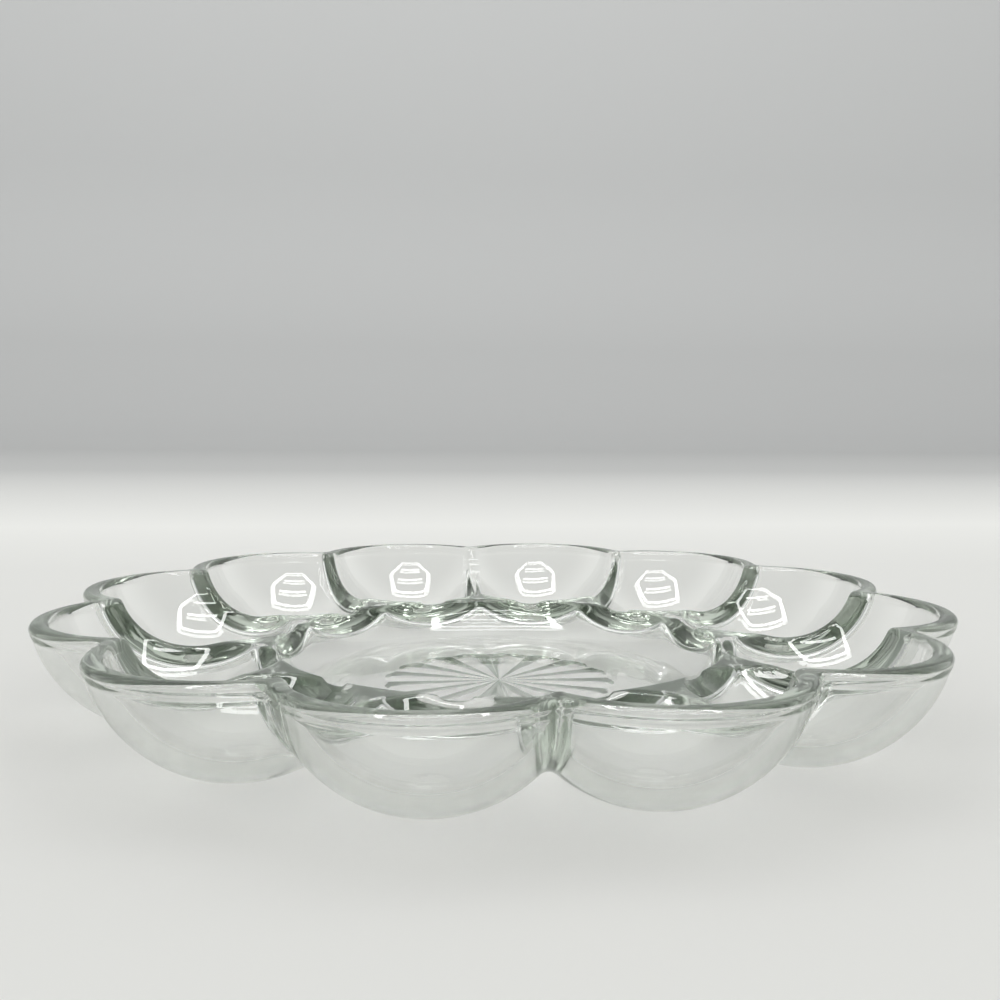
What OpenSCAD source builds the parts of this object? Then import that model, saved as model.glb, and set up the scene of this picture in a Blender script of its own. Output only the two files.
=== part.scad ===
// Egg platter of pressed clear glass: twelve egg-shaped wells round a flat centre.
// Every well is the hollow of an egg lying on its side with its narrow end towards the centre.
// The origin is on the table, in the middle of the plate.

/* [Plate] */
// Width over two opposite scallops
plate_d = 248; // [242:1:256]
// Height of the rim above the table
plate_h = 29; // [28:0.5:30.5]
// Thickness of the glass in the wells
wall = 4.2; // [3.9:0.1:4.6]
// Radius of the rounded bead along the rim and the ridges
bead_r = 2.6; // [2.4:0.05:2.8]
// Depth of the flats on which the wells stand
foot_cut = 0.5; // [0.4:0.1:0.8]

/* [Wells] */
// Radius of the broad end of a well
egg_r = 29; // [28:0.5:30.5]
// Radius of the long curve of a well, from its broad end to its narrow one
egg_side_r = 65; // [60:1:75]
// Rise of a well's axis towards the centre, in degrees
egg_rise = 5; // [2:0.5:6]

/* [Centre] */
// Width of the ring that the wells take, from the flat floor to the scallops
well_reach = 74; // [72:0.5:76]
// Radius of the curve that rises from the floor to the wells
floor_curve_r = 13.3; // [12:0.1:14]
// Height of the floor above the table
floor_top = 4.7; // [4.4:0.1:5.2]
// Thickness of the floor
floor_t = 3.9; // [3.5:0.1:4.1]

/* [Sunburst] */
// Number of petals pressed into the underside of the floor
petal_count = 16; // [12:1:20]
// Distance from the middle of the plate to a petal's outer tip
petal_reach = 33; // [30:0.5:36]
// Distance from the middle of the plate to a petal's inner tip
petal_start = 3; // [2.5:0.1:4]
// Depth of a petal
petal_depth = 0.9; // [0.5:0.1:1.2]

/* [Hidden] */
$fn = 72;
well_count = 12;
pitch = 360 / well_count;
half_pitch = pitch / 2;
// Overrun of every cut
over = 1;

// The egg: a ball at its broad end, carried on by a flatter arc that starts square to its axis
side_shift = egg_side_r - egg_r;
egg_z = egg_r + wall - foot_cut;
rim_reach = sqrt(pow(egg_r + wall, 2) - pow(egg_z - plate_h, 2));
egg_x = plate_d / 2 - rim_reach;

// The rim bead lies midway through the glass, as a ring round the broad end of each well
bead_z = plate_h - bead_r;
bead_drop = egg_z - bead_z;
ring_outer_r = sqrt(pow(egg_r + wall, 2) - pow(bead_drop, 2));
ring_inner_r = sqrt(pow(egg_r, 2) - pow(bead_drop, 2));
ring_r = (ring_outer_r + ring_inner_r) / 2;
// Neighbouring rings meet at a notch, on the plane midway between two wells
ring_turn = half_pitch + asin(egg_x * sin(half_pitch) / ring_r);
notch_r = ring_r * sin(ring_turn) / sin(half_pitch);

// Share of the bead's radius that is bedded between the two hollows
bedded_share = 0.7;
// Distance of a point from the wall of a well, negative inside it
function egg_gap(x, y, z) =
    let (
        dx = x - egg_x,
        dz = z - egg_z,
        along = dz * sin(egg_rise) - dx * cos(egg_rise),
        away = norm([y, dz * cos(egg_rise) + dx * sin(egg_rise)])
    )
    along <= 0 ? norm([along, away]) - egg_r : norm([along, away + side_shift]) - egg_side_r;
// Height at which a ball of the bead's size settles between two wells, at distance r from the
// plate's axis, found by halving the interval from low to high
function ridge_z(r, low = 0, high = egg_z, steps = 24) =
    let (
        middle = (low + high) / 2,
        free = egg_gap(r * cos(half_pitch), r * sin(half_pitch), middle) > bead_r * bedded_share
    )
    steps == 0 ? middle
    : free ? ridge_z(r, middle, high, steps - 1)
    : ridge_z(r, low, middle, steps - 1);
// Centre of the circle through three points
function circle_centre(a, b, c) =
    let (d = 2 * (a.x * (b.y - c.y) + b.x * (c.y - a.y) + c.x * (a.y - b.y)))
    [a * a * (b.y - c.y) + b * b * (c.y - a.y) + c * c * (a.y - b.y),
     a * a * (c.x - b.x) + b * b * (a.x - c.x) + c * c * (b.x - a.x)] / d;

// Radius of the flat floor, and of the circle on which the peaks of the ridges stand
floor_r = plate_d / 2 - well_reach;
peak_r = floor_r + floor_curve_r;
// A ridge is one arc, from the notch down to the peak where the floor's curve cuts it off
middle_r = (notch_r + peak_r) / 2;
ridge_top = [notch_r, bead_z];
ridge_middle = [middle_r, ridge_z(middle_r)];
ridge_end = [peak_r, ridge_z(peak_r)];
sweep = circle_centre(ridge_top, ridge_middle, ridge_end);
sweep_r = norm(ridge_top - sweep);
sweep_from = atan2(ridge_end.y - sweep.y, ridge_end.x - sweep.x) - asin(2 * bead_r / sweep_r);
sweep_to = atan2(ridge_top.y - sweep.y, ridge_top.x - sweep.x);
// Share of the bead's radius, above its middle, at which the glass between two hollows is cut off
trim_share = 0.4;

// A petal is a leaf between two arcs
petal_pitch = 360 / petal_count;
petal_middle = (petal_start + petal_reach) / 2;
petal_half_l = (petal_reach - petal_start) / 2;
petal_width_share = 0.94;
petal_half_w = petal_middle * tan(petal_pitch / 2) * petal_width_share;
petal_arc_r = (pow(petal_half_l, 2) + pow(petal_half_w, 2)) / (2 * petal_half_w);

// Half of the egg's outline, grown by the given amount, with its axis upright and narrow end up
module egg_outline(grow) {
    reach = egg_r + egg_side_r;
    intersection() {
        circle(r = egg_r + grow);
        translate([0, -reach])
            square(reach);
    }
    intersection() {
        translate([-side_shift, 0])
            circle(r = egg_side_r + grow);
        square(reach);
    }
}

// The lower half of an egg, lying on its side in the plane of its well
module egg(grow = 0) {
    translate([egg_x, 0, egg_z])
        rotate([0, egg_rise - 90, 0])
            rotate_extrude(angle = 180, start = 90)
                egg_outline(grow);
}

// One copy of the children in the plane of each well
module at_wells() {
    for (i = [0 : well_count - 1])
        rotate((i + 0.5) * pitch)
            children();
}

// One copy of the children in each plane midway between two wells
module at_ridges() {
    for (i = [0 : well_count - 1])
        rotate(i * pitch)
            children();
}

// The flat floor and the curve that rises from it, thicker by grow
module floor_outline(grow = 0) {
    translate([0, floor_top - grow])
        square([floor_r, floor_curve_r + grow]);
    translate([floor_r, floor_top + floor_curve_r])
        circle(r = floor_curve_r + grow);
}

// Bead along the top of one ridge, from the rim down to the floor's curve
module ridge_bead() {
    translate([sweep.x, 0, sweep.y])
        rotate([90, 0, 0])
            rotate_extrude(angle = sweep_to - sweep_from, start = sweep_from)
                translate([sweep_r, 0])
                    circle(r = bead_r);
}

// Space above the ridges, which trims the sharp edges between neighbouring hollows
module crest_cutter() {
    rotate_extrude()
        translate(sweep)
            circle(r = sweep_r - bead_r * trim_share);
}

// The body without its ridge beads: the wells and the floor, hollowed from above
module bowl_body() {
    difference() {
        intersection() {
            union() {
                at_wells() egg(wall);
                rotate_extrude()
                    intersection() {
                        floor_outline(floor_t);
                        square([plate_d, floor_top + floor_curve_r]);
                    }
            }
            cylinder(r = plate_d, h = plate_h);
        }
        at_wells() egg();
        crest_cutter();
    }
}

// One petal of the sunburst, as a cutter that stands in the underside of the floor
module petal() {
    translate([petal_middle, 0, floor_top - floor_t - over])
        linear_extrude(petal_depth + over)
            intersection_for (side = [-1, 1])
                translate([0, side * (petal_arc_r - petal_half_w)])
                    circle(r = petal_arc_r);
}

module platter() {
    color([0.86, 0.9, 0.88, 0.5])
    difference() {
        union() {
            bowl_body();
            at_ridges() ridge_bead();
        }
        rotate_extrude()
            intersection() {
                union() {
                    floor_outline();
                    translate([0, floor_top + floor_curve_r])
                        square([peak_r, plate_h]);
                }
                square(plate_d);
            }
        for (i = [0 : petal_count - 1])
            rotate((i + 0.5) * petal_pitch)
                petal();
    }
}

platter();
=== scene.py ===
"""Deviled egg platter: a scalloped plate of clear pressed glass, and the table it stands on.

Sizes are in metres, in the frame of the CAD model: the origin lies on the table under the middle
of the plate, +Z is up, and notches of the rim lie on the X and Y axes.
"""

import math

import bpy
import numpy as np
from mathutils import Matrix, Vector


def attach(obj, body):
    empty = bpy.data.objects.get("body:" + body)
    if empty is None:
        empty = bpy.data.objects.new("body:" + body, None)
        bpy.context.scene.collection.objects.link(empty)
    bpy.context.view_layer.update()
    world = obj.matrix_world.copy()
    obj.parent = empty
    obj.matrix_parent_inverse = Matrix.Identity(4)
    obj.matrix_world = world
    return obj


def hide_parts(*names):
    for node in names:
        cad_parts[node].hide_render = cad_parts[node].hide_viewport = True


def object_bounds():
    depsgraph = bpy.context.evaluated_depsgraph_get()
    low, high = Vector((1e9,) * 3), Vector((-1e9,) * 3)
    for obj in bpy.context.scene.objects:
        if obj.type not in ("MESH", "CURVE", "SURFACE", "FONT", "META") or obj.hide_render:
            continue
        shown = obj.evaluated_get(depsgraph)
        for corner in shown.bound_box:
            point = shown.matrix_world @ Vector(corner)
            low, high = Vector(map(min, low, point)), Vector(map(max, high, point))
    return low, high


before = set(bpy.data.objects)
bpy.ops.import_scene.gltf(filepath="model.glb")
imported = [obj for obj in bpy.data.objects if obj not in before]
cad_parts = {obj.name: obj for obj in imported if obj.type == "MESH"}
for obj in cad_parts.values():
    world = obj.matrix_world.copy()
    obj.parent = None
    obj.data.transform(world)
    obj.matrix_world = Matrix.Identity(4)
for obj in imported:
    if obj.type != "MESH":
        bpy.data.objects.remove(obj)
CAD_LOW, CAD_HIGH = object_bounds()

bl_info = {
    "name": "Pressed Glass Egg Plate",
    "version": (1, 0, 0),
    "blender": (4, 5, 0),
    "location": "View3D > Sidebar > Egg Plate",
    "description": "Builds a scalloped egg plate of clear pressed glass, and the table it stands on",
    "category": "Add Mesh",
}

WELLS = 12
PITCH = 2 * math.pi / WELLS

# Columns of the glass mesh: all round the plate, and over half a well
COLUMNS = 480
HALF_COLUMNS = COLUMNS // WELLS // 2
# Share by which the columns among the wells keep their even places; the rest crowd at the ridges
EVEN_SHARE = 0.4
# Rows of the glass mesh, as distances from the plate's axis: in the middle, then across the petals
MIDDLE_ROWS = (0.001, 0.002, 0.003)
PETAL_ROWS_START, PETAL_ROWS_STEP = 0.0045, 0.0018
# Rows lie this far on both sides of the petals' tips
TIP_ROWS_GAP = 0.0005
# Up to this distance the columns are evenly spaced, and a few rows further out they are crowded
EVEN_REACH, CROWDED_START, CROWDED_ROWS = 0.036, 0.039, 4
# Rows up the dish's curve, across the inner half of the wells, up their outer half, round the rim
DISH_ROWS, WELL_ROWS, FAN_ROWS, RIM_ROWS = 15, 25, 29, 15
# Above 1 the rows across the wells lie closer at the lip; below 1 the fan's lie closer at the rim
WELL_CROWDING, FAN_CROWDING = 1.35, 0.8

# Upright rays look for the glass from these heights, over these lengths
ABOVE, ABOVE_REACH = 0.04, 0.041
BELOW, BELOW_REACH = -0.005, 0.035
# Rays from the middle of a well meet its glass between these distances, and leave it within the third
FAN_NEAR, FAN_FAR, FAN_THROUGH = 0.012, 0.045, 0.02
# A ray that looks for its way out of the glass starts this much past its way in
SKIN = 0.0005
# Rays from the middle of the rim leave it within this distance
RIM_FAR = 0.008
# Steps along a ray, and halvings of the step in which it meets the glass
RAY_STEPS, HALVINGS = 90, 26
LIP_HALVINGS = 30

# Keeps the cosine between two normals away from 1, where the rounding would divide by zero
COSINE_LIMIT = 0.98
# Keeps lengths that are divided by away from zero
TINY, TINY_WIDTH = 1e-12, 1e-6

# A petal's rounded tip is a parabola with this parameter
PETAL_TIP = 0.0105
# Petals narrower than this on each side are shallower in proportion
PETAL_FULL_WIDTH = 0.0035

# The table runs from its front edge to the bend that carries it up into the backdrop
TABLE_FRONT_Y, TABLE_HALF_WIDTH = -2.5, 4
BACKDROP_Y, BACKDROP_TOP, BEND_RADIUS, BEND_STEPS = 2.6, 3.5, 0.7, 15
# Along the card: distance behind the plate, share of the backdrop's colour, gain. The share of the darker
# backdrop colour is painted shade where less light reaches the card, and gains above 1 are painted light
CARD_STOPS = (
    (0.25, 0, 1),
    (0.46, 0, 1.08),
    (0.68, 0.25, 1.05),
    (1.18, 0.8, 1),
    (2.1, 1, 1),
    (2.43, 1, 1.02),
    (2.6, 1, 1.15),
)

# The soft lamp over the backdrop: its place, what it is aimed at, and its sides
LAMP_PLACE, LAMP_TARGET, LAMP_SIDES = (0, 0.9, 2.2), (0, BACKDROP_Y, 1.3), (3.0, 0.8)
# On the way from behind the camera to ahead of it, the room brightens between these shares
ROOM_DIM_UP_TO, ROOM_BRIGHT_FROM = 0.34, 0.62

CAMERA_PLACE = (-0.03108, -0.29563, 0.08044)
CAMERA_TARGET = (0, 0, 0.029)
CAMERA_ROLL = 0.462
CAMERA_SHIFT = (0.0005, 0.0946)
# Light passes through many faces of the glass before it is dropped
LIGHT_BOUNCES = 64


class PlatterSizes(bpy.types.PropertyGroup):
    """Sizes of the pressing."""

    plate_radius: bpy.props.FloatProperty(
        name="Plate radius",
        description="From the middle of the plate to the outside of a scallop",
        default=0.124,
        unit="LENGTH",
    )
    plate_height: bpy.props.FloatProperty(
        name="Plate height",
        description="From the table to the top of the rim",
        default=CAD_HIGH.z,
        unit="LENGTH",
    )
    wall: bpy.props.FloatProperty(
        name="Wall",
        description="Thickness of the glass in the wells",
        default=0.0047,
        unit="LENGTH",
    )
    well_radius: bpy.props.FloatProperty(
        name="Well radius",
        description="Radius of a well's broad end",
        default=0.0285,
        unit="LENGTH",
    )
    side_radius: bpy.props.FloatProperty(
        name="Well side radius",
        description="Radius of a well's long curve towards its narrow end",
        default=0.038,
        unit="LENGTH",
    )
    well_height: bpy.props.FloatProperty(
        name="Well centre height",
        description="Height of the middle of a well's broad end above the table",
        default=0.0327,
        unit="LENGTH",
    )
    floor_radius: bpy.props.FloatProperty(
        name="Floor radius",
        description="Radius of the flat centre",
        default=0.05,
        unit="LENGTH",
    )
    floor_curve: bpy.props.FloatProperty(
        name="Floor curve",
        description="Radius of the curve that rises from the floor to the wells",
        default=0.0133,
        unit="LENGTH",
    )
    floor_height: bpy.props.FloatProperty(
        name="Floor height",
        description="Top of the floor above the table",
        default=0.0047,
        unit="LENGTH",
    )
    floor_wall: bpy.props.FloatProperty(
        name="Floor thickness",
        description="Thickness of the glass in the floor",
        default=0.0039,
        unit="LENGTH",
    )
    rim_band: bpy.props.FloatProperty(
        name="Rim band",
        description="Height of the upright band along the rim",
        default=0.0030,
        unit="LENGTH",
    )
    rim_round: bpy.props.FloatProperty(
        name="Rim rounding",
        description="Radius of both edges of the rim",
        default=0.0018,
        unit="LENGTH",
    )
    ridge_round: bpy.props.FloatProperty(
        name="Ridge rounding",
        description="Radius along the ridges between the wells",
        default=0.0016,
        unit="LENGTH",
    )
    ridge_height: bpy.props.FloatProperty(
        name="Ridge height",
        description="Height of the ridges' level part above the table",
        default=0.0164,
        unit="LENGTH",
    )
    ridge_level: bpy.props.FloatProperty(
        name="Ridge level",
        description="Distance from the plate's axis at which the ridges start to rise",
        default=0.089,
        unit="LENGTH",
    )
    ridge_curve: bpy.props.FloatProperty(
        name="Ridge curve",
        description="Radius in which the ridges rise to the rim",
        default=0.017,
        unit="LENGTH",
    )
    lip_round: bpy.props.FloatProperty(
        name="Lip rounding",
        description="Radius of the lips round the centre, and under the rim's band",
        default=0.0013,
        unit="LENGTH",
    )
    groove_round: bpy.props.FloatProperty(
        name="Groove rounding",
        description="Radius of the grooves between the wells, on the outside",
        default=0.003,
        unit="LENGTH",
    )
    petals: bpy.props.IntProperty(name="Petals", description="Petals of the sunburst", default=16)
    petal_reach: bpy.props.FloatProperty(
        name="Petal reach",
        description="From the middle of the plate to the outer tips of the petals",
        default=0.033,
        unit="LENGTH",
    )
    petal_depth: bpy.props.FloatProperty(
        name="Petal depth",
        description="Depth of the petals in the underside",
        default=0.0009,
        unit="LENGTH",
    )


class PlatterFinish(bpy.types.PropertyGroup):
    """Finish of the glass."""

    tint: bpy.props.FloatVectorProperty(
        name="Tint",
        description="Colour that the glass gives to the light on its way through",
        default=(0.765, 0.792, 0.758),
        size=3,
        subtype="COLOR",
    )
    tint_density: bpy.props.FloatProperty(
        name="Tint density",
        description="How fast the tint deepens, per metre of glass",
        default=52.0,
    )
    glass_ior: bpy.props.FloatProperty(
        name="Index of refraction",
        description="Bending of light in the glass",
        default=1.52,
    )


class PlatterStage(bpy.types.PropertyGroup):
    """Table, backdrop, lamps and camera."""

    floor_near: bpy.props.FloatVectorProperty(
        name="Table colour",
        description="Colour of the table round the plate",
        default=(0.82, 0.82, 0.80),
        size=3,
        subtype="COLOR",
    )
    # This darker grey is painted shade: it stands in for the light that falls off on the card behind the
    # plate
    backdrop: bpy.props.FloatVectorProperty(
        name="Backdrop colour",
        description="Colour of the backdrop behind the table",
        default=(0.47, 0.475, 0.475),
        size=3,
        subtype="COLOR",
    )
    room_near: bpy.props.FloatVectorProperty(
        name="Room behind the camera",
        description="Light that comes from behind the camera",
        default=(0.19, 0.2, 0.19),
        size=3,
        subtype="COLOR",
    )
    room_far: bpy.props.FloatVectorProperty(
        name="Room ahead",
        description="Light that comes from ahead of the camera",
        default=(1.25, 1.26, 1.24),
        size=3,
        subtype="COLOR",
    )
    soft_light: bpy.props.FloatVectorProperty(
        name="Soft light",
        description="Even light that falls on the table and the backdrop",
        default=(0.97, 0.975, 0.965),
        size=3,
        subtype="COLOR",
    )
    shadow_depth: bpy.props.FloatProperty(
        name="Shadow depth",
        description="Share of the even light that the glass keeps off the table",
        default=0.08,
        subtype="FACTOR",
    )
    backdrop_power: bpy.props.FloatProperty(
        name="Backdrop power",
        description="Power of the soft lamp on the backdrop",
        default=14.0,
    )
    strip_glow: bpy.props.FloatProperty(
        name="Strip glow",
        description="Brightness of the light strips",
        default=13.0,
    )
    strip_width: bpy.props.FloatProperty(
        name="Strip width",
        description="Width of a light strip",
        default=0.09,
        unit="LENGTH",
    )
    frame_height: bpy.props.FloatProperty(
        name="Frame height",
        description="Height of the light strips above the table",
        default=1.3,
        unit="LENGTH",
    )
    frame_half_width: bpy.props.FloatProperty(
        name="Frame half width",
        description="From the middle of the frame of strips to its side corners",
        default=0.735,
        unit="LENGTH",
    )
    frame_half_depth: bpy.props.FloatProperty(
        name="Frame half depth",
        description="From the middle of the frame of strips to its far edge",
        default=0.84,
        unit="LENGTH",
    )
    frame_forward: bpy.props.FloatProperty(
        name="Frame forward",
        description="From above the plate to the middle of the frame of strips, towards the camera",
        default=0.80,
        unit="LENGTH",
    )
    frame_corner: bpy.props.FloatProperty(
        name="Frame corner",
        description="Half the length of the frame's far edge",
        default=0.40,
        unit="LENGTH",
    )
    lens: bpy.props.FloatProperty(
        name="Lens",
        description="Focal length",
        default=37.83,
        subtype="DISTANCE_CAMERA",
    )


def rounded_edge(a, a_normal, b, b_normal, radius):
    """Distance from what lies inside both a and b, and its normal. Their edge is rounded by radius."""
    cosine = np.clip(np.sum(a_normal * b_normal, axis=-1), -COSINE_LIMIT, COSINE_LIMIT)
    p, q = a + radius, b + radius
    corner = (p > q * cosine) & (q > p * cosine)
    away = np.sqrt(np.maximum(p * p + q * q - 2 * p * q * cosine, 0) / (1 - cosine**2))
    gap = np.where(corner, away, np.maximum(p, q)) - radius
    lead = np.where((p > q)[..., None], a_normal, b_normal)
    return gap, lead


def rim_reach(sizes):
    """Distance from a well's middle to the outside of the rim."""
    return math.sqrt((sizes.well_radius + sizes.wall) ** 2 - (sizes.well_height - sizes.plate_height) ** 2)


def well_place(sizes):
    """Distance from the plate's axis to the middle of a well's broad end."""
    return sizes.plate_radius - rim_reach(sizes)


def well_gap(points, turn, sizes):
    """Distance from the wall of the well that lies turn round from +X, negative inside it."""
    out = np.array([math.cos(turn), math.sin(turn), 0])
    centre = out * well_place(sizes) + np.array([0, 0, sizes.well_height])
    axis = -out
    offset = points - centre
    along = offset @ axis
    across = offset - along[..., None] * axis
    away = np.linalg.norm(across, axis=-1) + TINY
    narrow = along > 0
    shift = np.where(narrow, sizes.side_radius - sizes.well_radius, 0)
    reach = np.hypot(along, away + shift) + TINY
    normal = along[..., None] * axis + ((away + shift) / away)[..., None] * across
    return reach - np.where(narrow, sizes.side_radius, sizes.well_radius), normal / reach[..., None]


def bowl_gap(points, radius, curve, height):
    """Distance from a bowl with a flat floor and a curved side, negative in the room above it."""
    r = np.hypot(points[..., 0], points[..., 1]) + TINY
    z = points[..., 2]
    flat, high = r < radius, z > height + curve
    dr = np.where(flat, 0, r - radius)
    dz = np.where(high, 0, z - height - curve)
    reach = np.hypot(dr, dz) + TINY
    gap = np.where(flat & ~high, height - z, reach - curve)
    out = dr / reach
    normal = np.stack([out * points[..., 0] / r, out * points[..., 1] / r, dz / reach], axis=-1)
    return gap, normal


def band_gap(points, turn, sizes):
    """Distance from the upright band that runs round the rim of one well, negative inside it."""
    out = np.array([math.cos(turn), math.sin(turn), 0])
    offset = (points - out * well_place(sizes)) * np.array([1, 1, 0])
    away = np.linalg.norm(offset, axis=-1) + TINY
    down = np.zeros_like(points)
    down[..., 2] = -1
    low = sizes.plate_height - sizes.rim_band - points[..., 2]
    return rounded_edge(away - rim_reach(sizes), offset / away[..., None], low, down, sizes.lip_round)


def joined(a, b, radius):
    """What lies inside a or b, with a fillet of radius between them, as a distance and a normal."""
    gap, normal = rounded_edge(-a[0], -a[1], -b[0], -b[1], radius)
    return -gap, -normal


def glass_gap(points, sizes):
    """Distance from the surface of the glass near the well on +X, negative inside the glass."""
    own, next_one = well_gap(points, 0, sizes), well_gap(points, PITCH, sizes)
    dish = bowl_gap(points, sizes.floor_radius, sizes.floor_curve, sizes.floor_height)
    crest = bowl_gap(points, sizes.ridge_level, sizes.ridge_curve, sizes.ridge_height)
    hollow = joined(joined(own, next_one, sizes.ridge_round), crest, sizes.ridge_round)
    hollow = joined(hollow, dish, sizes.lip_round)
    lobe, next_lobe = [
        joined((well[0] - sizes.wall, well[1]), band_gap(points, turn, sizes), sizes.lip_round)
        for well, turn in ((own, 0), (next_one, PITCH))
    ]
    lobes = joined(lobe, next_lobe, sizes.groove_round)
    shell = joined(lobes, (dish[0] - sizes.floor_wall, dish[1]), sizes.groove_round)
    inner = np.where((shell[0] > -hollow[0])[..., None], shell[1], -hollow[1])
    body = np.maximum(shell[0], -hollow[0])
    up = np.zeros_like(points)
    up[..., 2] = 1
    trimmed = rounded_edge(body, inner, points[..., 2] - sizes.plate_height, up, sizes.rim_round)[0]
    return np.maximum(trimmed, -points[..., 2])


def crossing(starts, directions, near, far, sizes, leaving=False):
    """Distance along each ray, between near and far, at which it first enters or leaves the glass."""
    sign = -1 if leaving else 1

    def gap(distance):
        return sign * glass_gap(starts + directions * distance[..., None], sizes)

    low = np.array(np.broadcast_to(near, starts.shape[:-1]), float)
    stride = (far - low) / RAY_STEPS
    found = np.zeros(low.shape, bool)
    for _ in range(RAY_STEPS):
        found |= gap(low + stride) < 0
        low = np.where(found, low, low + stride)
    high = low + stride
    for _ in range(HALVINGS):
        middle = (low + high) / 2
        outside = gap(middle) > 0
        low, high = np.where(outside, middle, low), np.where(outside, high, middle)
    return high


def column_turns():
    """Angles of the columns of half a well, for rows near the middle and for rows among the wells."""
    share = np.linspace(0, 1, HALF_COLUMNS + 1)
    even = share * PITCH / 2
    crowded = (EVEN_SHARE * share + (1 - EVEN_SHARE) * np.sin(share * math.pi / 2)) * PITCH / 2
    return even, crowded


def at(radii, turns, heights):
    """Points from their distances from the plate's axis, turns round it and heights."""
    return np.stack([radii * np.cos(turns), radii * np.sin(turns), heights], axis=-1)


def lip_leans(turns, sizes):
    """Angle up the dish's curve at which each column meets the well's lip."""
    low, high = np.zeros(len(turns)), np.full(len(turns), math.pi / 2)
    for _ in range(LIP_HALVINGS):
        lean = (low + high) / 2
        r = sizes.floor_radius + sizes.floor_curve * np.sin(lean)
        z = sizes.floor_height + sizes.floor_curve * (1 - np.cos(lean))
        points = at(r, turns, z)
        inside = (well_gap(points, 0, sizes)[0] < 0) | (z > sizes.ridge_height)
        low, high = np.where(inside, low, lean), np.where(inside, lean, high)
    return low


def inner_rows(even, crowded, axis, sizes):
    """Radii and turns of the rows from the middle of the plate to the middle of the wells."""
    petals = np.arange(PETAL_ROWS_START, sizes.petal_reach, PETAL_ROWS_STEP)
    tips = [sizes.petal_reach - TIP_ROWS_GAP, sizes.petal_reach, sizes.petal_reach + TIP_ROWS_GAP]
    rows = [(r, even) for r in [*MIDDLE_ROWS, *petals, *tips, EVEN_REACH]]
    for r in np.linspace(CROWDED_START, sizes.floor_radius, CROWDED_ROWS):
        share = (r - EVEN_REACH) / (sizes.floor_radius - EVEN_REACH)
        rows.append((r, even + (crowded - even) * share))
    lean = lip_leans(crowded, sizes)
    for part in np.linspace(0, 1, DISH_ROWS + 1)[1:]:
        rows.append((sizes.floor_radius + sizes.floor_curve * np.sin(lean * part), crowded))
    lip = sizes.floor_radius + sizes.floor_curve * np.sin(lean)
    for part in np.linspace(0, 1, WELL_ROWS + 1)[1:]:
        rows.append((lip + (axis - lip) * part**WELL_CROWDING, crowded))
    radii = np.array([np.broadcast_to(r, crowded.shape) for r, _ in rows])
    return radii, np.array([turns for _, turns in rows])


def fan_rows(axis, turns, last, sizes):
    """Rows of the top and of the underside, from the middle of the wells outwards to the rim."""
    parts = np.linspace(0, 1, FAN_ROWS + 1)[1:, None] ** FAN_CROWDING
    fan = -math.pi / 2 + (last + math.pi / 2) * parts
    turns = np.broadcast_to(turns, fan.shape)
    ways = at(np.cos(fan), turns, np.sin(fan))
    starts = at(np.broadcast_to(axis, fan.shape), turns, np.full(fan.shape, sizes.well_height))
    entry = crossing(starts, ways, FAN_NEAR, FAN_FAR, sizes)
    leave = crossing(starts, ways, entry + SKIN, entry + FAN_THROUGH, sizes, leaving=True)
    top, under = [
        (axis + np.cos(fan) * distance, turns, sizes.well_height + np.sin(fan) * distance)
        for distance in (entry, leave)
    ]
    return top, under


def rim_rows(rim_radii, turns, rim_height, last, sizes):
    """Rows round the top of the rim, from its inner side to its outer one."""
    sweep = np.linspace(0, 1, RIM_ROWS + 2)[1:-1, None]
    bead = last + math.pi - math.pi * sweep
    turns = np.broadcast_to(turns, bead.shape)
    ways = at(np.cos(bead), turns, np.sin(bead))
    starts = at(np.broadcast_to(rim_radii, bead.shape), turns, np.full(bead.shape, rim_height))
    leave = crossing(starts, ways, 0.0, RIM_FAR, sizes, leaving=True)
    return rim_radii + np.cos(bead) * leave, turns, rim_height + np.sin(bead) * leave


def half_sector(sizes):
    """Radii, turns and heights of the rows of half a well: the top, round the rim and back below."""
    even, crowded = column_turns()
    well_x = well_place(sizes)
    axis = well_x * np.cos(crowded)
    radii, turns = inner_rows(even, crowded, axis, sizes)
    up = np.broadcast_to(np.array([0.0, 0.0, 1.0]), radii.shape + (3,))
    high = at(radii, turns, np.full(radii.shape, ABOVE))
    top = ABOVE - crossing(high, -up, 0.0, ABOVE_REACH, sizes)
    low = at(radii, turns, np.full(radii.shape, BELOW))
    under = BELOW + crossing(low, up, 0.0, BELOW_REACH, sizes)
    # The middle of the rim's glass in each column, and the angle at which the well's middle sees it
    ring = rim_reach(sizes) - sizes.wall / 2
    rim_radii = axis + np.sqrt(ring**2 - (well_x * np.sin(crowded)) ** 2)
    rim_height = sizes.plate_height - sizes.wall / 2
    last = np.arctan2(rim_height - sizes.well_height, rim_radii - axis)
    fan_top, fan_under = fan_rows(axis, crowded, last, sizes)
    rim = rim_rows(rim_radii, crowded, rim_height, last, sizes)
    stretches = [(radii, turns, top), fan_top, rim]
    stretches += [[rows[::-1] for rows in back] for back in (fan_under, (radii, turns, under))]
    return [np.concatenate(rows) for rows in zip(*stretches)]


def petal_scoop(x, y, sizes):
    """Depth of the sunburst's petals in the underside of the floor."""
    r, turn = np.hypot(x, y), np.arctan2(y, x)
    half = math.pi / sizes.petals
    off = (turn % (2 * half)) - half
    tip = np.sqrt(np.maximum(sizes.petal_reach - r, 0) * PETAL_TIP)
    half_width = np.minimum(r * math.tan(half), tip)
    share = np.abs(r * np.sin(off)) / np.maximum(half_width, TINY_WIDTH)
    return sizes.petal_depth * np.clip(1 - share**2, 0, 1) * np.minimum(half_width / PETAL_FULL_WIDTH, 1)


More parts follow.
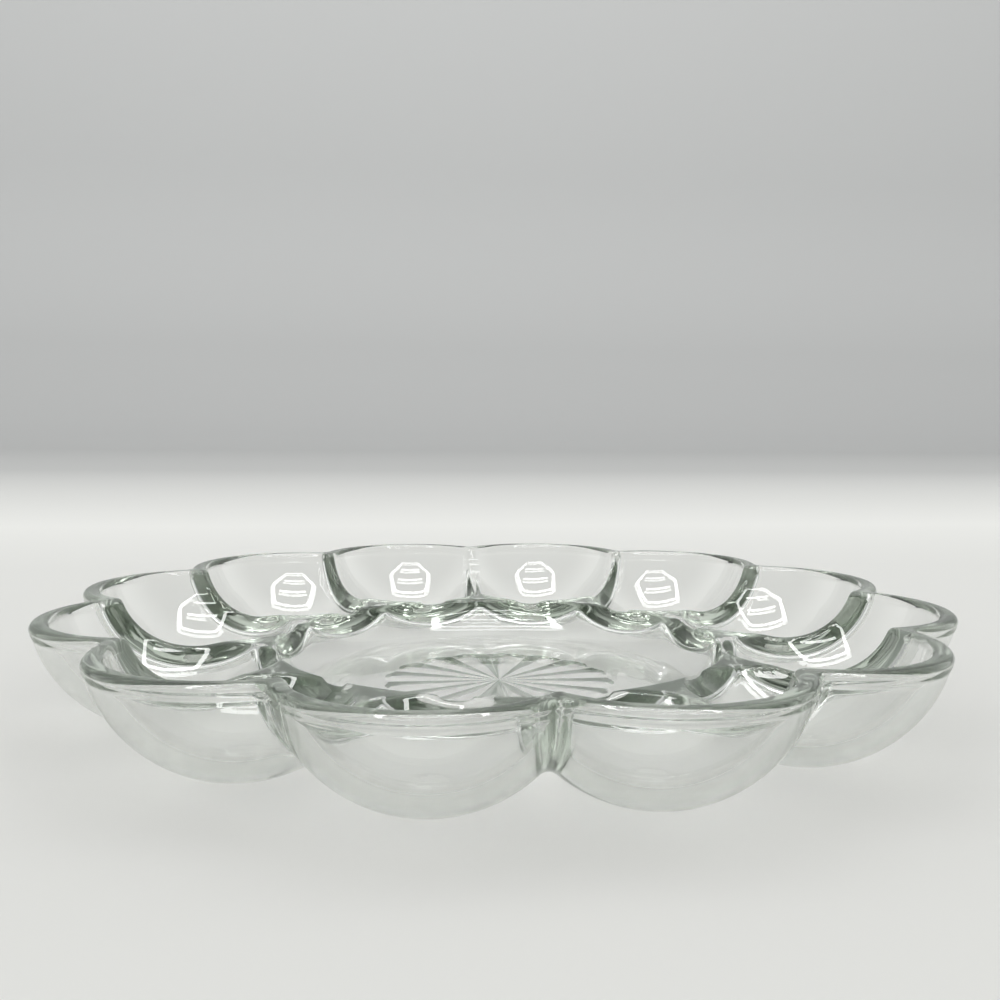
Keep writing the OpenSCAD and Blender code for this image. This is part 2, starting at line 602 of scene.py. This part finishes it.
def whole_ring(radii, turns, heights):
    """The rows all round the plate: each well is the half one mirrored, and then as it is."""
    columns = range(-HALF_COLUMNS, HALF_COLUMNS)
    order = [abs(j) for j in columns]
    side = np.array([-1 if j < 0 else 1 for j in columns])
    start = np.repeat((np.arange(WELLS) + 0.5) * PITCH, len(order))
    turns = np.tile(turns[:, order] * side, WELLS) + start
    return np.tile(radii[:, order], WELLS), turns, np.tile(heights[:, order], WELLS)


def closed_faces(rows):
    """Faces between the rows, and round the two points in the middle, which follow the rows."""
    index = np.arange(rows * COLUMNS).reshape(rows, COLUMNS)
    after = np.roll(index, -1, axis=1)
    # The corners run so that the top's faces look up
    quads = np.stack([index[1:], after[1:], after[:-1], index[:-1]], axis=-1).reshape(-1, 4)
    middle_top, middle_under = index.size, index.size + 1
    cap = [(middle_top, int(a), int(b)) for a, b in zip(index[0], after[0])]
    base = [(middle_under, int(b), int(a)) for a, b in zip(index[-1], after[-1])]
    return quads.tolist() + cap + base


def glass_mesh(sizes):
    """The whole pressing as one closed mesh, in columns round the plate's axis."""
    radii, turns, z = whole_ring(*half_sector(sizes))
    x, y = radii * np.cos(turns), radii * np.sin(turns)
    rows = len(radii)
    below = np.arange(rows)[:, None] > rows / 2
    z = np.where(below & (radii < sizes.petal_reach), z + petal_scoop(x, y, sizes), z)
    points = np.stack([x, y, z], axis=-1).reshape(-1, 3)
    middles = [[0, 0, sizes.floor_height], [0, 0, sizes.floor_height - sizes.floor_wall]]
    mesh = bpy.data.meshes.new("pressed_glass")
    mesh.from_pydata(np.vstack([points, middles]).tolist(), [], closed_faces(rows))
    mesh.validate()
    mesh.shade_smooth()
    return mesh


def glass_material(finish):
    """Clear glass, faintly grey-green where it is thick."""
    material = bpy.data.materials.new("fire_polished_glass")
    material.use_nodes = True
    nodes, links = material.node_tree.nodes, material.node_tree.links
    skin = nodes["Principled BSDF"]
    skin.inputs["Base Color"].default_value = (1, 1, 1, 1)
    skin.inputs["Transmission Weight"].default_value = 1
    skin.inputs["Roughness"].default_value = 0
    skin.inputs["IOR"].default_value = finish.glass_ior
    depth = nodes.new("ShaderNodeVolumeAbsorption")
    depth.inputs["Color"].default_value = (*finish.tint, 1)
    depth.inputs["Density"].default_value = finish.tint_density
    links.new(depth.outputs["Volume"], nodes["Material Output"].inputs["Volume"])
    return material


class EGG_PLATE_OT_glass(bpy.types.Operator):
    """Press the plate: twelve egg-shaped wells, the centre with its sunburst and the scalloped rim"""

    bl_idname = "egg_plate.glass"
    bl_label = "Pressed glass plate"

    def execute(self, context):
        scene = context.scene
        mesh = glass_mesh(scene.egg_plate_sizes)
        plate = bpy.data.objects.new("pressed_glass_plate", mesh)
        scene.collection.objects.link(plate)
        mesh.materials.append(glass_material(scene.egg_plate_finish))
        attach(plate, "root")
        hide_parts("platter")
        return {"FINISHED"}


def card_material(stage):
    """Matt pale card whose colour changes with its distance behind the plate: painted shade darkens it
    towards the backdrop, and painted light brightens it where the gain is above 1.
    """
    material = bpy.data.materials.new("pale_card")
    material.use_nodes = True
    nodes, links = material.node_tree.nodes, material.node_tree.links
    skin = nodes["Principled BSDF"]
    skin.inputs["Roughness"].default_value = 0.9
    skin.inputs["Specular IOR Level"].default_value = 0.1
    place = nodes.new("ShaderNodeTexCoord")
    split = nodes.new("ShaderNodeSeparateXYZ")
    spread = nodes.new("ShaderNodeMapRange")
    spread.inputs["From Max"].default_value = BACKDROP_Y
    ramp = nodes.new("ShaderNodeValToRGB")
    links.new(place.outputs["Object"], split.inputs[0])
    links.new(split.outputs["Y"], spread.inputs["Value"])
    links.new(spread.outputs["Result"], ramp.inputs["Fac"])
    links.new(ramp.outputs["Color"], skin.inputs["Base Color"])
    stops = ramp.color_ramp.elements
    while len(stops) < len(CARD_STOPS):
        stops.new(1)
    # Painted shade: the backdrop's share darkens the card. Painted light: gains above 1 brighten it
    for stop, (distance, painted_shade_share, painted_light_gain) in zip(stops, CARD_STOPS):
        stop.position = distance / BACKDROP_Y
        pairs = zip(stage.floor_near, stage.backdrop)
        mix = [(near + (far - near) * painted_shade_share) * painted_light_gain for near, far in pairs]
        stop.color = (*mix, 1)
    return material


def add_table(stage):
    """Table that bends up into the backdrop."""
    bend_y = BACKDROP_Y - BEND_RADIUS
    profile = [(TABLE_FRONT_Y, 0.0), (bend_y, 0.0)]
    for turn in np.linspace(0, math.pi / 2, BEND_STEPS + 1)[1:]:
        profile.append((bend_y + BEND_RADIUS * math.sin(turn), BEND_RADIUS - BEND_RADIUS * math.cos(turn)))
    profile += [(BACKDROP_Y, BACKDROP_TOP)]
    points = [(x, y, z) for y, z in profile for x in (-TABLE_HALF_WIDTH, TABLE_HALF_WIDTH)]
    faces = [(2 * i, 2 * i + 1, 2 * i + 3, 2 * i + 2) for i in range(len(profile) - 1)]
    mesh = bpy.data.meshes.new("table_and_backdrop")
    mesh.from_pydata(points, [], faces)
    mesh.shade_smooth()
    table = bpy.data.objects.new("table_and_backdrop", mesh)
    bpy.context.scene.collection.objects.link(table)
    mesh.materials.append(card_material(stage))


def add_backdrop_lamp(stage):
    """Soft lamp that lights the backdrop and leaves no image of itself in the glass."""
    light = bpy.data.lights.new("backdrop_soft", "AREA")
    light.shape = "RECTANGLE"
    light.size, light.size_y = LAMP_SIDES
    light.energy = stage.backdrop_power
    lamp = bpy.data.objects.new("backdrop_soft", light)
    bpy.context.scene.collection.objects.link(lamp)
    lamp.location = LAMP_PLACE
    lamp.rotation_euler = (Vector(LAMP_TARGET) - lamp.location).to_track_quat("-Z", "Y").to_euler()
    lamp.visible_glossy = False
    lamp.visible_transmission = False


def add_light_frame(stage):
    """Long hexagon of thin light strips overhead, with two strips across it."""
    half_depth, corner = stage.frame_half_depth, stage.frame_corner
    ring = [(stage.frame_half_width, 0), (corner, half_depth), (-corner, half_depth)]
    ring += [(-x, -y) for x, y in ring]
    strips = list(zip(ring, ring[1:] + ring[:1]))
    strips += [((-corner, y), (corner, y)) for y in (-half_depth / 3, half_depth / 3)]
    for number, (start, end) in enumerate(strips):
        start, end = Vector(start), Vector(end)
        light = bpy.data.lights.new("light_strip", "AREA")
        light.shape = "RECTANGLE"
        light.size, light.size_y = (end - start).length, stage.strip_width
        light.energy = stage.strip_glow * math.pi * light.size * light.size_y
        strip = bpy.data.objects.new(f"light_strip_{number + 1}", light)
        bpy.context.scene.collection.objects.link(strip)
        middle = (start + end) / 2
        strip.location = (middle.x, middle.y - stage.frame_forward, stage.frame_height)
        strip.rotation_euler = (0, 0, math.atan2(end.y - start.y, end.x - start.x))
        strip.visible_diffuse = False


def add_camera(stage):
    """Camera at the height, distance and turn of the photographed view."""
    data = bpy.data.cameras.new("camera")
    data.lens = stage.lens
    data.sensor_width = 36
    data.shift_x, data.shift_y = CAMERA_SHIFT
    data.clip_start = 0.01
    camera = bpy.data.objects.new("camera", data)
    scene = bpy.context.scene
    scene.collection.objects.link(camera)
    camera.location = CAMERA_PLACE
    turn = (Vector(CAMERA_TARGET) - Vector(CAMERA_PLACE)).to_track_quat("-Z", "Y").to_matrix()
    roll = Matrix.Rotation(math.radians(CAMERA_ROLL), 3, "Z")
    camera.rotation_euler = (turn @ roll).to_euler()
    scene.camera = camera


def room_view(nodes, links, stage):
    """Background of a room that is dim behind the camera and bright ahead of it."""
    place = nodes.new("ShaderNodeTexCoord")
    split = nodes.new("ShaderNodeSeparateXYZ")
    spread = nodes.new("ShaderNodeMapRange")
    spread.inputs["From Min"].default_value = -1
    ramp = nodes.new("ShaderNodeValToRGB")
    dim, bright = ramp.color_ramp.elements
    dim.position, dim.color = ROOM_DIM_UP_TO, (*stage.room_near, 1)
    bright.position, bright.color = ROOM_BRIGHT_FROM, (*stage.room_far, 1)
    room = nodes["Background"]
    links.new(place.outputs["Generated"], split.inputs[0])
    links.new(split.outputs["Y"], spread.inputs["Value"])
    links.new(spread.outputs["Result"], ramp.inputs["Fac"])
    links.new(ramp.outputs["Color"], room.inputs["Color"])
    return room


def even_light(nodes, links, path, stage):
    """Background of even light. Less of it comes through the glass, so the plate keeps its shadow."""
    soft = nodes.new("ShaderNodeBackground")
    soft.inputs["Color"].default_value = (*stage.soft_light, 1)
    shade = nodes.new("ShaderNodeMath")
    shade.operation = "MULTIPLY_ADD"
    shade.inputs[1].default_value = -stage.shadow_depth
    shade.inputs[2].default_value = 1
    links.new(path.outputs["Is Transmission Ray"], shade.inputs[0])
    links.new(shade.outputs[0], soft.inputs["Strength"])
    return soft


def mixed(nodes, links, share, first, second):
    """Shader that shows first where the socket share gives 0, and second where it gives 1."""
    mix = nodes.new("ShaderNodeMixShader")
    links.new(share, mix.inputs[0])
    links.new(first.outputs[0], mix.inputs[1])
    links.new(second.outputs[0], mix.inputs[2])
    return mix


def world_light(stage):
    """Even light on the table, and for the glass a room that is bright ahead and dim behind."""
    world = bpy.data.worlds.new("soft_room")
    bpy.context.scene.world = world
    world.use_nodes = True
    nodes, links = world.node_tree.nodes, world.node_tree.links
    path = nodes.new("ShaderNodeLightPath")
    # Light that hasn't met the table or the backdrop yet shows the room; the rest is the even light
    direct = nodes.new("ShaderNodeMath")
    direct.operation = "LESS_THAN"
    direct.inputs[1].default_value = 0.5
    links.new(path.outputs["Diffuse Depth"], direct.inputs[0])
    even, room = even_light(nodes, links, path, stage), room_view(nodes, links, stage)
    light = mixed(nodes, links, direct.outputs[0], even, room)
    # Beyond the card the room itself is as plain as the backdrop
    plain = nodes.new("ShaderNodeBackground")
    plain.inputs["Color"].default_value = (*stage.backdrop, 1)
    sight = mixed(nodes, links, path.outputs["Is Camera Ray"], light, plain)
    links.new(sight.outputs[0], nodes["World Output"].inputs["Surface"])


class EGG_PLATE_OT_stage(bpy.types.Operator):
    """Set the table and backdrop, the lamps and the camera"""

    bl_idname = "egg_plate.stage"
    bl_label = "Table, lamps and camera"

    def execute(self, context):
        stage = context.scene.egg_plate_stage
        add_table(stage)
        add_backdrop_lamp(stage)
        add_light_frame(stage)
        add_camera(stage)
        world_light(stage)
        context.scene.view_settings.view_transform = "Standard"
        cycles = context.scene.cycles
        cycles.max_bounces = LIGHT_BOUNCES
        cycles.transmission_bounces = LIGHT_BOUNCES
        cycles.glossy_bounces = LIGHT_BOUNCES
        return {"FINISHED"}


class EGG_PLATE_PT_panel(bpy.types.Panel):
    """Sizes, finish and stage of the egg plate"""

    bl_label = "Egg Plate"
    bl_idname = "EGG_PLATE_PT_panel"
    bl_space_type = "VIEW_3D"
    bl_region_type = "UI"
    bl_category = "Egg Plate"

    def draw(self, context):
        layout, scene = self.layout, context.scene
        for group in (scene.egg_plate_sizes, scene.egg_plate_finish, scene.egg_plate_stage):
            box = layout.box()
            for name in group.bl_rna.properties.keys():
                if name not in ("rna_type", "name"):
                    box.prop(group, name)
        layout.operator(EGG_PLATE_OT_glass.bl_idname)
        layout.operator(EGG_PLATE_OT_stage.bl_idname)


CLASSES = (
    PlatterSizes,
    PlatterFinish,
    PlatterStage,
    EGG_PLATE_OT_glass,
    EGG_PLATE_OT_stage,
    EGG_PLATE_PT_panel,
)


def register():
    for cls in CLASSES:
        bpy.utils.register_class(cls)
    bpy.types.Scene.egg_plate_sizes = bpy.props.PointerProperty(type=PlatterSizes)
    bpy.types.Scene.egg_plate_finish = bpy.props.PointerProperty(type=PlatterFinish)
    bpy.types.Scene.egg_plate_stage = bpy.props.PointerProperty(type=PlatterStage)


def unregister():
    del bpy.types.Scene.egg_plate_sizes
    del bpy.types.Scene.egg_plate_finish
    del bpy.types.Scene.egg_plate_stage
    for cls in reversed(CLASSES):
        bpy.utils.unregister_class(cls)


def main():
    register()
    bpy.ops.egg_plate.glass()
    bpy.ops.egg_plate.stage()


if __name__ == "__main__":
    main()
